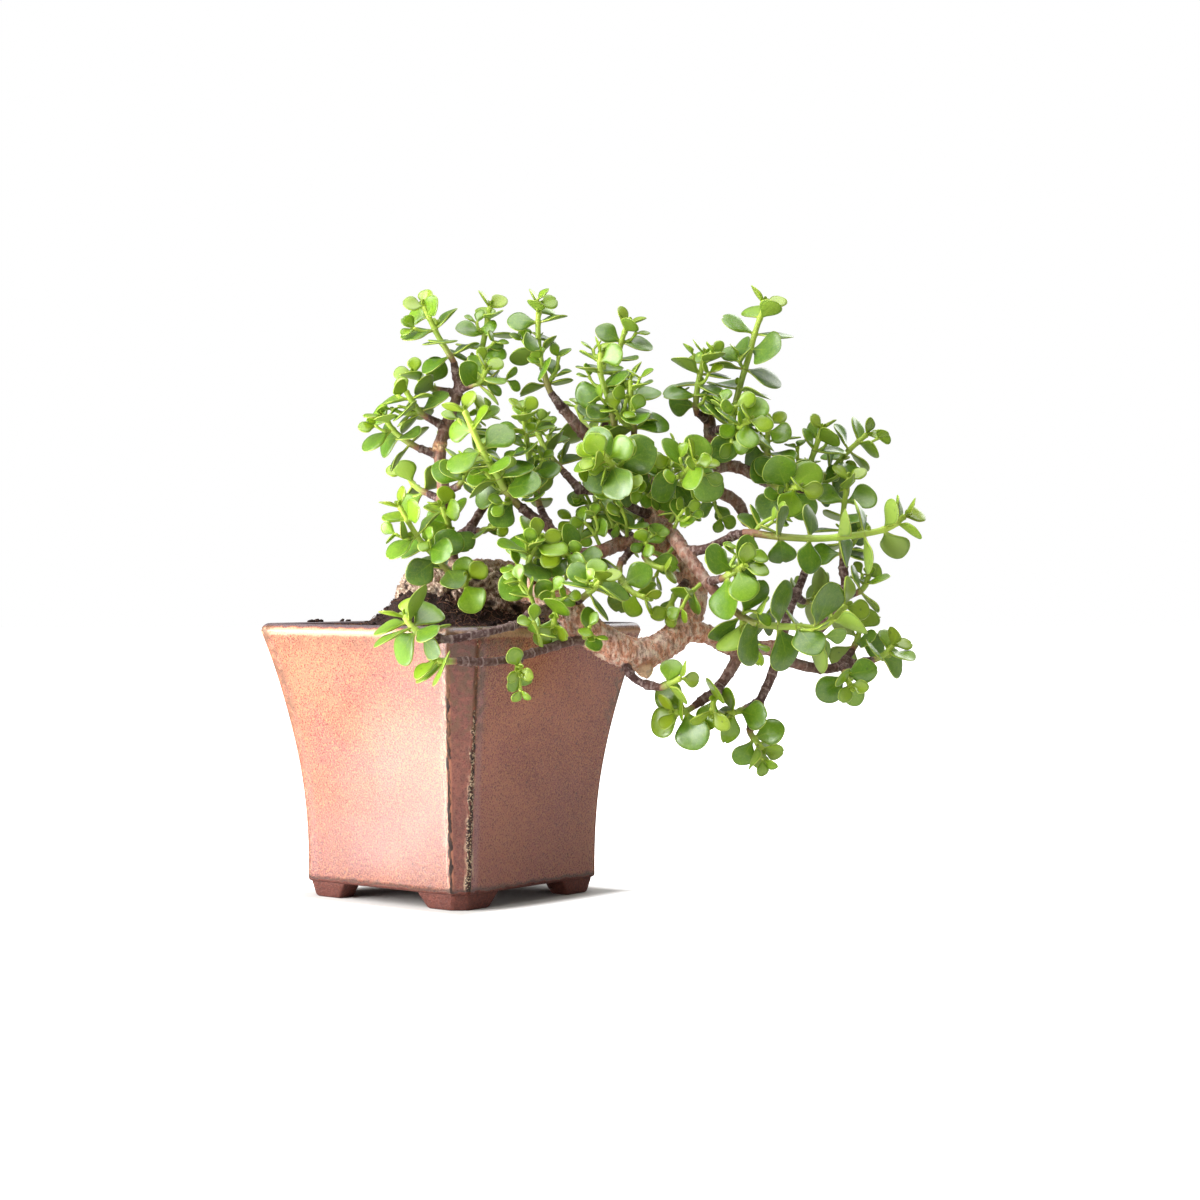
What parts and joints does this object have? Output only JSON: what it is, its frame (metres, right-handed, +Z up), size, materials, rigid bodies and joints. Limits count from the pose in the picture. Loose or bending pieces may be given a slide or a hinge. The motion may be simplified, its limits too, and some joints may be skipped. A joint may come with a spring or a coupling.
{
  "type": "elephant bush bonsai in a glazed pot",
  "caption": "Semi-cascade succulent bonsai with a curved trunk and fleshy opposite leaves, planted in a tall flared square pot with cut corners and corner feet.",
  "frame": {"origin": "middle of the whole plant's bounding box, on the surface that the pot's feet stand on", "axes": "+X to the right and -Y towards the viewer as the bonsai's front is looked at, +Z up"},
  "size_m": [0.3402, 0.2358, 0.3174],
  "materials": {
    "glazed_pot": "copper pink glaze with fine sandy speckle",
    "plastic_mesh": "black moulded mesh",
    "potting_soil": "dark damp fibrous soil",
    "bark": "grey brown ringed bark",
    "leaf": "waxy fleshy green leaf"
  },
  "bodies": {
    "root": {"pot": "glazed_pot", "drainage_screen": "plastic_mesh", "soil": "potting_soil", "wood": "bark", "shoot_left_peak": "leaf", "shoot_left_second": "leaf", "shoot_left_third": "leaf", "shoot_left_shoulder": "leaf", "shoot_left_upper": "leaf", "shoot_left_outer": "leaf", "shoot_left_low_back": "leaf", "shoot_left_inner_front": "leaf", "shoot_left_back": "leaf", "shoot_low_left": "leaf", "shoot_low_left_round": "leaf", "shoot_low_left_high": "leaf", "shoot_low_left_small": "leaf", "shoot_yellow_front": "leaf", "shoot_middle_left_high": "leaf", "shoot_middle_left_back": "leaf", "shoot_first_mast": "leaf", "shoot_second_mast": "leaf", "shoot_third_mast": "leaf", "shoot_fourth_mast": "leaf", "shoot_fifth_mast": "leaf", "shoot_tall_right": "leaf", "shoot_crown_right_first": "leaf", "shoot_crown_right_second": "leaf", "shoot_crown_right_third": "leaf", "shoot_right_vertical": "leaf", "shoot_long_right": "leaf", "shoot_front_big": "leaf", "shoot_front_big_high": "leaf", "shoot_far_right": "leaf", "shoot_far_right_under": "leaf", "shoot_far_right_up": "leaf", "shoot_droop_tip": "leaf", "shoot_droop_middle": "leaf", "shoot_fork_tip": "leaf", "shoot_fork_front": "leaf", "shoot_under_tip": "leaf", "shoot_front_cascade": "leaf", "shoot_front_cascade_low": "leaf", "shoot_front_spur": "leaf", "shoot_front_hanging": "leaf", "shoot_middle_left_front": "leaf", "shoot_middle_front": "leaf", "shoot_middle_front_high": "leaf", "shoot_middle_spray": "leaf", "shoot_middle_twiglet": "leaf", "shoot_trunk_twig": "leaf", "shoot_crown_back": "leaf", "shoot_left_crown_back": "leaf", "shoot_low_back": "leaf", "shoot_right_outer": "leaf", "shoot_right_inner": "leaf", "shoot_front_crown": "leaf", "shoot_front_crown_right": "leaf", "shoot_crown_fill": "leaf", "shoot_crown_fill_low": "leaf"}
  },
  "joints": []
}
